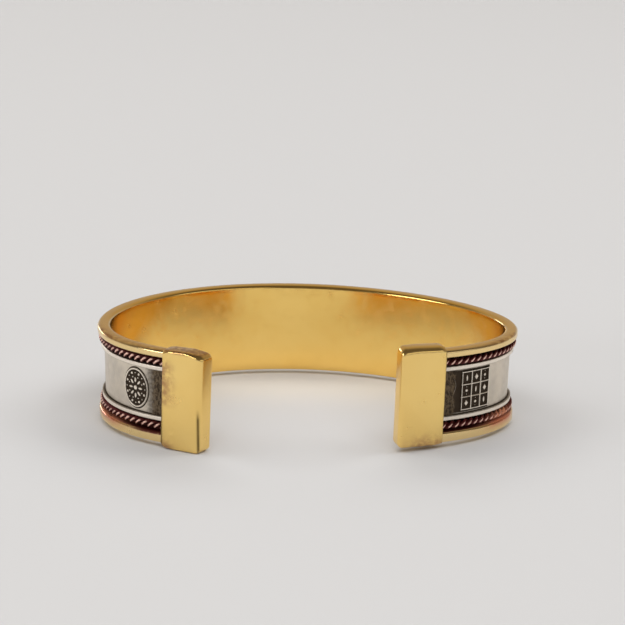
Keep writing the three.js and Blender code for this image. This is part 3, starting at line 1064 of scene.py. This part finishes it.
@dataclass
class SilverBand:
    """The plate with its two rails, and the relief cast with it."""

    path: BandPath
    gold: GoldBand
    medallion: Medallion = field(default_factory=Medallion)
    panel: SquaredPanel = field(default_factory=SquaredPanel)
    seat_gap: float = 0.1 * MM
    lower_channel: float = 1.6 * MM
    upper_channel: float = 1.5 * MM
    plate_depth: float = 1.0 * MM
    rail_depth: float = 0.5 * MM
    rail_height: float = 0.68 * MM
    rail_rounding: float = 0.14 * MM
    fine_step: float = 0.05 * MM
    plain_step: float = 0.6 * MM
    groove_width: float = 0.16 * MM
    plate_groove: float = 0.95
    rail_groove: float = 0.5
    plate_end: float = 0.9
    rail_end: float = 0.25
    end_soil: tuple[float, float] = (5.2 * MM, 0.6 * MM)
    back_soil: float = 0.8

    @property
    def bottom(self) -> float:
        """Height of the band's lower edge."""
        return self.gold.lower_rim + self.lower_channel

    @property
    def top(self) -> float:
        """Height of the band's upper edge."""
        return self.gold.ledge - self.upper_channel

    def lengths(self) -> np.ndarray:
        """Station lengths: close together under the reliefs and wide apart elsewhere."""
        total = self.path.length
        margin = 0.5 * MM
        panel_end = self.panel.from_bend + self.panel.width / 2 + margin
        middle = total - self.medallion.from_bend
        reach = self.medallion.half_width + margin
        stretches = [
            (-self.gold.tongue, 0.0, self.plain_step),
            (0.0, panel_end, self.fine_step),
            (panel_end, middle - reach, self.plain_step),
            (middle - reach, middle + reach, self.fine_step),
            (middle + reach, total + self.gold.tongue, self.plain_step / 2),
        ]
        parts = [np.linspace(a, b, round((b - a) / step) + 1)[:-1] for a, b, step in stretches]
        return np.concatenate([*parts, [total + self.gold.tongue]])

    def section(self) -> tuple[np.ndarray, np.ndarray]:
        """The section's rows of depth and height, and which of them lie on the plate."""
        rail, soft, front = self.rail_height, self.rail_rounding, self.rail_depth + self.rail_rounding
        back = self.gold.floor - self.seat_gap
        low, high = self.bottom, self.top
        plate = np.arange(low + rail, high - rail + self.fine_step / 2, self.fine_step)
        parts = [
            np.array([[back, low]]),
            arc((front, low + soft), soft, (270, 180), 4),
            arc((front, low + rail - soft), soft, (180, 90), 4),
            np.column_stack([np.full_like(plate, self.plate_depth), plate]),
            arc((front, high - rail + soft), soft, (270, 180), 4),
            arc((front, high - soft), soft, (180, 90), 4),
            np.array([[back, high]]),
        ]
        on_plate = [np.full(len(part), number == 3) for number, part in enumerate(parts)]
        return np.vstack(parts), np.concatenate(on_plate)

    def groove(self, height: np.ndarray) -> np.ndarray:
        """How deep in the soiled line beside a rail each height lies.

        Args:
            height: Heights above the gold band's lower edge.

        Returns:
            1 in the line itself, falling to 0 beside it.
        """
        low, high = self.bottom + self.rail_height, self.top - self.rail_height
        return np.maximum(bump_at(height, low, self.groove_width), bump_at(height, high, self.groove_width))

    def build(self) -> bpy.types.Object:
        """Makes the plate, its rails and its reliefs as one body."""
        lengths = self.lengths()
        profile, on_plate = self.section()
        section = np.broadcast_to(profile, (len(lengths), *profile.shape)).copy()
        depth, height = section[..., 0], section[..., 1]
        along = np.broadcast_to(lengths[:, None], depth.shape)
        middle = (self.bottom + self.top) / 2
        total = self.path.length
        disc, disc_oxide = self.medallion.relief(along - total + self.medallion.from_bend, height - middle)
        squares, squares_oxide = self.panel.relief(along - self.panel.from_bend, height - middle)
        profile_depth = depth.copy()
        depth -= np.where(on_plate, disc + squares, 0.0)
        mouth = np.minimum(along, total - along)
        oxide = np.maximum(disc_oxide, squares_oxide)
        groove = self.groove(height) * np.where(on_plate, self.plate_groove, self.rail_groove)
        near_end = smooth(mouth, *self.end_soil) * np.where(on_plate, self.plate_end, self.rail_end)
        past_rail = 0.15 * MM
        back_edge = smooth(depth, self.rail_depth + past_rail, self.plate_depth) * self.back_soil
        oxide = np.maximum.reduce([oxide, groove, near_end, np.where(on_plate, 0.0, back_edge)])
        umber_from, umber_to = 0.7 * MM, 1.5 * MM
        squares_from = self.panel.from_bend - self.panel.width / 2
        umber = smooth(mouth, squares_from - umber_from, squares_from - umber_to) * on_plate
        low_relief, full_relief = 0.06 * MM, 0.12 * MM
        raised = smooth(disc + squares, low_relief, full_relief) * on_plate
        rounding = 0.1 * MM
        rail_face = smooth(profile_depth, self.rail_depth + rounding, self.rail_depth)
        rail = np.where(on_plate, 0.0, rail_face)
        masks = {"oxide": oxide, "umber": umber, "crest": np.maximum(raised, rail)}
        return Loft("plate", self.path.at(lengths[:, None]), section, masks).build()

    def dress(self, piece: bpy.types.Object) -> None:
        """Gives the plate its silver."""
        clothe(piece, SilverFinish("satin_silver").material(), "silver_band")


@dataclass
class CopperRope:
    """Two round strands twisted together, lying in a channel.

    Its copper tint is how strongly a warm tint covers the strands near the right bend. Each strand
    takes a painted highlight on the side that faces a set way, from the way into the hollow towards up.
    """

    path: BandPath
    gold: GoldBand
    name: str
    middle: float
    node: str
    diameter: float = 1.25 * MM
    pitch: float = 2.4 * MM
    seat_gap: float = 0.1 * MM
    tuck: float = 1.0 * MM
    film: float = 0.0
    glint_facing_deg: float = 184
    sides: int = 16
    steps_per_pitch: int = 14
    glint_edge: float = 0.78
    right_glint: float = 0.45
    left_glint: float = -0.1
    glint_span: float = 0.5
    tint_share: float = 0.6
    fade: float = 0.5

    def strand(self, stations: Stations, start: float) -> tuple[np.ndarray, np.ndarray, np.ndarray]:
        """Points of one strand and how much painted highlight each takes.

        Args:
            stations: Stations along the rope.
            start: The strand's angle at the first station.

        Returns:
            Depths, heights and painted highlight shares of the ring points at each station.
        """
        radius = self.diameter / 4
        depth = self.gold.floor - self.seat_gap - self.diameter / 2
        turn = start - 2 * math.pi * stations.lengths / self.pitch
        around = np.linspace(0, 2 * math.pi, self.sides, endpoint=False)
        ring_depth = depth + radius * (np.cos(turn) + np.cos(around))
        ring_height = self.middle + radius * (np.sin(turn) + np.sin(around))
        # Painted highlight on the side of each strand that faces the set way, where its turn faces that way
        # too.
        across = smooth(np.cos(around - math.radians(self.glint_facing_deg)), self.glint_edge, 1.0)
        on_right = stations.lengths < self.path.length / 2
        shortest = np.where(on_right, self.right_glint, self.left_glint)
        longest = shortest + self.glint_span
        lengthwise = smooth(np.cos(turn - math.radians(self.glint_facing_deg)), shortest, longest)
        return ring_depth, ring_height, across * lengthwise

    def build(self) -> bpy.types.Object:
        """Makes both strands as one object."""
        low = -self.gold.setback - self.tuck
        high = self.path.length + self.gold.setback + self.tuck
        count = round((high - low) / self.pitch * self.steps_per_pitch) + 1
        stations = self.path.at(np.linspace(low, high, count)[:, None])
        # The painted highlight fades near the left turn.
        fades = bump_at(stations.lengths, self.path.length - self.gold.turn_mark_left, self.gold.turn_mark_reach)
        turn_mark_reach = self.gold.turn_mark_reach * self.tint_share
        # A warm tint on the strands near the right turn.
        tinted = bump_at(stations.lengths, self.gold.turn_mark_right, turn_mark_reach) * self.film
        points, faces = [], []
        masks = {"along": [], "height": [], "depth": [], "crown": [], "film": []}
        for start in (0.0, math.pi):
            depth, height, glint = self.strand(stations, start)
            offset = sum(len(part) for part in points)
            points.append(stations.place(depth, height).reshape(-1, 3))
            faces += [tuple(i + offset for i in face) for face in tube_faces(count, self.sides)]
            masks["along"].append(np.broadcast_to(stations.lengths, depth.shape).ravel())
            masks["height"].append(height.ravel())
            masks["depth"].append(depth.ravel())
            masks["crown"].append((glint * (1 - self.fade * fades)).ravel())
            masks["film"].append(np.broadcast_to(tinted, depth.shape).ravel())
        kept = {key: np.concatenate(parts) for key, parts in masks.items()}
        return mesh_object(self.name, np.concatenate(points), faces, kept)

    def dress(self, piece: bpy.types.Object) -> None:
        """Gives the rope its copper."""
        clothe(piece, CopperFinish(self.name + "_copper").material(), self.node)


@dataclass(frozen=True)
class Dent:
    """A shallow round dent in a sleeve's front face."""

    along: float
    height: float
    radius: float
    depth: float


@dataclass(frozen=True)
class SleeveShape:
    """How one hand-folded sleeve differs from the other.

    Lean is how far its ends slant over each length of height, and end_skew the same over depth.
    End_fall is how far its top falls towards its end, top_tint is how strongly a painted dark reflection
    browns that top, and fold is how far up a painted shade line runs in the crease beside its end. Worn
    is the stretch of height beside its mouth that takes a painted brown reflection, which lies below
    the sleeve where nothing is. Foot is where along it painted brown shade darkens its lower edge, and
    how far from there.
    """

    length: float
    rise: float
    flare: float
    drop: float
    lean: float
    end_skew: float
    top_rounding: float
    end_fall: float
    top_tint: float
    low_corner: float
    fold: float
    worn: tuple[float, float]
    foot: tuple[float, float]
    dents: Sequence[Dent] = ()


@dataclass
class EndCap:
    """A folded sleeve over one end of the band, open at its mouth and soft at its far end."""

    path: BandPath
    gold: GoldBand
    side: Side
    shape: SleeveShape
    proud: float = 0.5 * MM
    mouth_proud: float = 0.26 * MM
    mouth_rise: float = 0.10 * MM
    mouth_corner: float = 1.1 * MM
    clearance: float = 0.06 * MM
    end_wall: float = 1.1 * MM
    edge_rounding: float = 0.6 * MM
    mouth_rounding: float = 0.12 * MM
    end_rounding: float = 0.9 * MM
    end_tuck: float = 0.55 * MM
    smallest: float = 0.12 * MM
    fall_reach: float = 3.2 * MM
    fall_rounding: float = 1.5
    mouth_curve: float = 1.5
    rows: int = 60
    mouth_rings: int = 5
    body_rings: int = 46
    end_rings: int = 9
    sway: float = 0.016 * MM
    soft_edge: float = 1.6 * MM
    brown_reach: tuple[float, float] = (3.2 * MM, 0.3 * MM)
    foot_reach: float = 1.5 * MM
    foot_brown: float = 1.2
    fold_width: float = 0.17 * MM
    mouth_line: float = 0.14 * MM
    mouth_shade: float = 0.8

    @property
    def name(self) -> str:
        """The sleeve's plain name."""
        return f"sleeve_{self.side.name.lower()}"

    def ring(
        self, low: tuple[float, float], high: tuple[float, float], radii: tuple[float, float]
    ) -> np.ndarray:
        """A rounded rectangle with many points on its long sides.

        Args:
            low: Lowest depth and height.
            high: Highest depth and height.
            radii: Radius of the upper and of the lower corners.

        Returns:
            Rows of depth and height.
        """
        top, bottom = radii
        upper, lower = high[1] - top, low[1] + bottom
        share = np.linspace(0, 1, self.rows + 2)[1:-1]
        front = np.column_stack([np.full_like(share, low[0]), upper + (lower - upper) * share])
        back = np.column_stack([np.full_like(share, high[0]), lower + (upper - lower) * share])
        return np.vstack([
            arc((high[0] - top, upper), top, (0, 90), 8),
            arc((low[0] + top, upper), top, (90, 180), 8),
            front,
            arc((low[0] + bottom, lower), bottom, (180, 270), 6),
            arc((high[0] - bottom, lower), bottom, (270, 360), 6),
            back,
        ])

    def outside(self, along: float, side_tuck: float, top_tuck: float) -> np.ndarray:
        """The sleeve's outer ring at a distance from its mouth.

        Args:
            along: Distance from the mouth.
            side_tuck: How far the ring draws in at the front and the back.
            top_tuck: How far it draws in at the top and the bottom.

        Returns:
            Rows of depth and height.
        """
        shape = self.shape
        near = max(0.0, 1 - along / self.mouth_corner)
        low_near = max(0.0, 1 - along / shape.low_corner)
        rise = shape.rise + shape.flare * along / shape.length
        falling = float(smooth(along, shape.length - self.fall_reach, shape.length))
        rise -= shape.end_fall * falling
        rise += (self.mouth_rise - rise) * (1 - math.sqrt(1 - near * near))
        drop = shape.drop + (self.mouth_rise - shape.drop) * (1 - math.sqrt(1 - low_near * low_near))
        proud = self.proud + (self.mouth_proud - self.proud) * near**self.mouth_curve
        low = (side_tuck - proud, top_tuck - drop)
        high = (self.gold.thickness + self.proud - side_tuck, self.gold.height + rise - top_tuck)
        top_radius = shape.top_rounding + (self.gold.top_rounding + proud - shape.top_rounding) * near
        top_radius += shape.end_fall * self.fall_rounding * falling
        radii = (top_radius - side_tuck, self.edge_rounding - side_tuck)
        return self.ring(low, high, tuple(max(radius, self.smallest) for radius in radii))

    def rings(self) -> tuple[np.ndarray, np.ndarray]:
        """The sleeve's rings from its pocket's blind end to its closed far end, and their places."""
        gap, length, tight = self.clearance, self.shape.length, 0.05 * MM
        size = (self.gold.thickness + gap, self.gold.height + gap)
        pocket = self.ring((-gap, -gap), size, (self.gold.top_rounding, tight))
        along = [length - self.end_wall, 0.0]
        rings = [pocket, pocket]
        for angle in np.linspace(0, math.pi / 2, self.mouth_rings):
            tuck = self.mouth_rounding * (1 - math.sin(angle))
            along.append(self.mouth_rounding * (1 - math.cos(angle)))
            rings.append(self.outside(along[-1], tuck, tuck))
        body_end = length - self.end_rounding
        for place in np.linspace(self.mouth_rounding, body_end, self.body_rings)[1:-1]:
            along.append(place)
            rings.append(self.outside(place, 0.0, 0.0))
        for angle in np.linspace(0, math.pi / 2, self.end_rings):
            tuck = 1 - math.cos(angle)
            along.append(body_end + self.end_rounding * math.sin(angle))
            rings.append(self.outside(along[-1], self.end_tuck * tuck, self.end_rounding * tuck))
        return np.array(along), np.array(rings)

    def build(self) -> bpy.types.Object:
        """Makes the sleeve with its dents."""
        shape, side = self.shape, self.side.value
        along, rings = self.rings()
        depth, height = rings[..., 0], rings[..., 1]
        place = np.broadcast_to(along[:, None], depth.shape).copy()
        pocket_rings = 2
        in_pocket = np.zeros_like(depth)
        in_pocket[:pocket_rings] = 1.0
        place += side * shape.lean * (height - self.gold.height / 2)
        place += shape.end_skew * place / shape.length * (depth - self.gold.thickness / 2)
        place[0] = along[0]
        proud_face = -0.2 * MM
        front = smooth(depth, 0.0, proud_face) * (1 - in_pocket)
        for dent in shape.dents:
            away = np.hypot(place - dent.along, height - dent.height)
            depth += dent.depth * bump_at(away, 0.0, dent.radius) * front
        up_wave, end_wave, drift = 2.3 * MM, 1.9 * MM, 4.1 * MM
        sway = np.sin(height / up_wave) + np.sin(place / end_wave + height / drift)
        depth += self.sway * sway * front
        # Painted brown reflection in a band beside the mouth, painted shade at the lower corner and a
        # painted dark reflection on the top.
        brown = smooth(height, shape.worn[0] - self.soft_edge, shape.worn[0])
        brown *= smooth(place, *self.brown_reach)
        brown *= smooth(height, shape.worn[1] + self.soft_edge, shape.worn[1])
        foot = bump_at(place, *shape.foot) * bump_at(height, -shape.drop, self.foot_reach)
        top_from, top_to = self.gold.height - 0.2 * MM, self.gold.height + 0.1 * MM
        brown += foot * self.foot_brown + smooth(height, top_from, top_to) * shape.top_tint
        mouth = self.path.length + self.gold.setback if side > 0 else -self.gold.setback
        stations = self.path.at(mouth + side * place)
        # Painted shade lines in the crease beside the end and along the mouth.
        fold_place, fold_above, fold_below = 0.7, 1.5 * MM, 0.5 * MM
        fold = bump_at(place, shape.length - self.end_rounding * fold_place, self.fold_width)
        fold *= smooth(height, shape.fold + fold_above, shape.fold - fold_below)
        mouth_line = bump_at(place, 0.0, self.mouth_line) * self.mouth_shade
        grime = np.maximum(fold, mouth_line) * front
        # Inside the pocket: dark dirt together with painted shade.
        masks = {"soil": in_pocket, "brown": np.clip(brown, 0, 1) * (1 - in_pocket), "grime": grime}
        return Loft(self.name, stations, np.stack([depth, height], axis=-1), masks).build()

    def dress(self, piece: bpy.types.Object) -> None:
        """Gives the sleeve its gold."""
        gold = GoldFinish(
            self.name + "_gold",
            bright=(1.0, 0.71, 0.25),
            warm=(0.96, 0.65, 0.21),
            polish=0.18,
            scratch_step=0.009 * MM,
        )
        clothe(piece, gold.material(), f"end_cap_{self.side.name.lower()}")


@dataclass(frozen=True)
class Lamp:
    """A soft light: where it hangs, its width and height, its watts, and where it shines.

    Mirrored tells whether the metal mirrors it.
    """

    name: str
    place: tuple[float, float, float]
    size: tuple[float, float]
    power: float
    mirrored: bool = False
    aim: tuple[float, float, float] = (0.0, 0.0, 0.01)
    tint: tuple[float, float, float] = (1.0, 1.0, 1.0)


@dataclass(frozen=True)
class Studio:
    """A plain pale floor, soft lights and the camera at the photo's angle."""

    elevation_deg: float = 14.956
    turn_deg: float = -1.749
    roll_deg: float = 1.2135
    distance: float = 315.42 * MM
    aim: tuple[float, float, float] = (0.657 * MM, 0.0, 15.52 * MM)
    focal_pixels: float = 2063.34
    floor_side: float = 3.0
    floor_tone: tuple[float, float, float] = (0.588, 0.595, 0.608)
    dim: tuple[float, float, float] = (0.11, 0.092, 0.075)
    amber: tuple[float, float, float] = (0.42, 0.335, 0.235)
    pale: tuple[float, float, float] = (0.46, 0.46, 0.50)
    floor_rough: float = 0.75
    clip: tuple[float, float] = (0.01, 20.0)
    lamps: tuple[Lamp, ...] = (
        Lamp("front_cloth", (0.1, -1.1, 1.5), (1.8, 1.2), 16.5),
        Lamp("left_window", (-1.1, 0.1, 1.1), (1.0, 1.0), 8.0),
        Lamp("right_window", (1.1, 0.1, 1.2), (1.0, 1.0), 9.6),
        Lamp("back_cloth", (0.0, 1.3, 1.2), (1.6, 0.8), 9.5),
        Lamp("right_pane", (1.0, -1.1, 0.42), (1.8, 0.35), 1.4, mirrored=True),
        Lamp("left_pane", (-1.3, -0.75, 0.42), (0.7, 0.3), 4.2, mirrored=True),
        Lamp(
            "wall_glow",
            (0.001, 0.0115, 0.009),
            (0.042, 0.005),
            0.0012,
            aim=(0.001, 0.0135, 0.0),
            tint=(1.0, 0.80, 0.52),
        ),
        Lamp("back_pane", (-0.8, 1.0, 0.1), (0.5, 0.14), 1.0, mirrored=True),
    )
    behind: tuple[float, float] = (-0.2, 0.7)
    pale_top: tuple[float, float] = (0.1, 0.3)
    low_top: tuple[float, float] = (0.0, 0.35)
    low_share: float = 0.6

    def camera(self, origin: np.ndarray) -> None:
        """Places the camera.

        Args:
            origin: Where the oval's own centre stands in the frame, at the band's lower edge.
        """
        elevation, roll = math.radians(self.elevation_deg), math.radians(self.roll_deg)
        back = Vector((0.0, -math.cos(elevation), math.sin(elevation)))
        place = Vector(self.aim) + back * self.distance
        right = Vector((1.0, 0.0, 0.0))
        above = back.cross(right)
        axes = Matrix((
            right * math.cos(roll) + above * math.sin(roll),
            above * math.cos(roll) - right * math.sin(roll),
            back,
        )).transposed()
        turn = Matrix.Rotation(math.radians(self.turn_deg), 3, "Z")
        data = bpy.data.cameras.new("view")
        data.sensor_width = SENSOR_SIDE
        data.lens = SENSOR_SIDE * self.focal_pixels / IMAGE_SIDE
        data.clip_start, data.clip_end = self.clip
        camera = bpy.data.objects.new("view", data)
        camera.matrix_world = Matrix.Translation(turn @ place + Vector(origin)) @ (turn @ axes).to_4x4()
        bpy.context.scene.collection.objects.link(camera)
        bpy.context.scene.camera = camera

    def floor(self) -> None:
        """Lays the floor under the bracelet."""
        half = self.floor_side / 2
        corners = np.array([[-half, -half, 0], [half, -half, 0], [half, half, 0], [-half, half, 0]])
        ground = mesh_object("floor", corners, [(0, 1, 2, 3)], {})
        graph = Graph.coat("pale_floor")
        graph.feed(graph.shader.inputs["Base Color"], self.floor_tone)
        graph.feed(graph.shader.inputs["Roughness"], self.floor_rough)
        ground.data.materials.append(graph.owner)

    def hang(self, lamp: Lamp) -> None:
        """Hangs one soft light.

        Args:
            lamp: The light.
        """
        data = bpy.data.lights.new(lamp.name, "AREA")
        data.shape = "RECTANGLE"
        data.size, data.size_y = lamp.size
        data.energy = lamp.power
        data.color = lamp.tint
        made = bpy.data.objects.new(lamp.name, data)
        made.visible_glossy = lamp.mirrored
        made.visible_camera = False
        made.location = lamp.place
        made.rotation_euler = (Vector(lamp.aim) - Vector(lamp.place)).to_track_quat("-Z", "Y").to_euler()
        bpy.context.scene.collection.objects.link(made)

    def room(self) -> None:
        """Makes the room pale low behind the bracelet, amber higher behind and dim in front."""
        graph = Graph(bpy.data.worlds.new("room"), "Background")
        way = graph.add("ShaderNodeTexCoord", output="Generated")
        behind = graph.add("ShaderNodeSeparateXYZ", sockets={0: way}, output="Y")
        above = graph.add("ShaderNodeSeparateXYZ", sockets={0: way}, output="Z")
        backdrop = behind.span(*self.behind)
        pale = backdrop * above.span(*self.pale_top, 1.0, 0.0)
        low = above.span(*self.low_top, self.low_share, 0.0)
        wall = graph.mix(backdrop, self.dim, self.amber)
        graph.feed(graph.shader.inputs["Color"], graph.mix(pale.larger(low), wall, self.pale))
        graph.feed(graph.shader.inputs["Strength"], 1.0)
        bpy.context.scene.world = graph.owner

    def build(self, origin: np.ndarray) -> None:
        """Sets up the whole studio.

        Args:
            origin: Where the oval's own centre stands in the frame.
        """
        self.camera(origin)
        self.floor()
        for lamp in self.lamps:
            self.hang(lamp)
        self.room()
        bpy.context.scene.view_settings.view_transform = "Standard"


def main() -> None:
    """Builds the bracelet piece by piece in its studio."""
    logging.basicConfig(level=logging.INFO, format="%(name)s: %(message)s")
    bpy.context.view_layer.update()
    path = BandPath()
    Studio().build(path.shift())
    gold = GoldBand(path)
    gold.dress(gold.build())
    silver = SilverBand(path, gold)
    silver.dress(silver.build())
    rope_gap = 0.1 * MM
    for name, middle, film in (
        ("rope_upper", silver.top + rope_gap + CopperRope.diameter / 2, 0.0),
        ("rope_lower", silver.bottom - rope_gap - CopperRope.diameter / 2, 1.0),
    ):
        rope = CopperRope(path, gold, name, middle, f"copper_{name}", film=film)
        rope.dress(rope.build())
    left = SleeveShape(
        length=6.8 * MM,
        rise=0.25 * MM,
        flare=0.2 * MM,
        drop=0.7 * MM,
        lean=0.036,
        end_skew=0.15,
        top_rounding=0.35 * MM,
        end_fall=0.3 * MM,
        top_tint=0.95,
        low_corner=1.7 * MM,
        fold=5.0 * MM,
        worn=(7.0 * MM, 12.0 * MM),
        foot=(0.6 * MM, 1.3 * MM),
        dents=(
            Dent(1.7 * MM, 2.2 * MM, 0.35 * MM, 0.07 * MM),
            Dent(5.1 * MM, 2.0 * MM, 0.35 * MM, 0.06 * MM),
            Dent(2.0 * MM, 1.1 * MM, 0.3 * MM, 0.05 * MM),
        ),
    )
    right = SleeveShape(
        length=7.1 * MM,
        rise=0.75 * MM,
        flare=0.2 * MM,
        drop=0.3 * MM,
        lean=0.01,
        end_skew=-0.1,
        top_rounding=0.95 * MM,
        end_fall=0.12 * MM,
        top_tint=0.05,
        low_corner=2.8 * MM,
        fold=-2.0 * MM,
        worn=(-9.0 * MM, -9.0 * MM),
        foot=(2.6 * MM, 3.2 * MM),
        dents=(
            Dent(3.0 * MM, 1.1 * MM, 0.25 * MM, 0.05 * MM),
            Dent(4.9 * MM, 0.7 * MM, 0.22 * MM, 0.05 * MM),
            Dent(6.1 * MM, 0.4 * MM, 0.25 * MM, 0.06 * MM),
        ),
    )
    for side, shape in ((Side.LEFT, left), (Side.RIGHT, right)):
        cap = EndCap(path, gold, side, shape)
        cap.dress(cap.build())


if __name__ == "__main__":
    main()
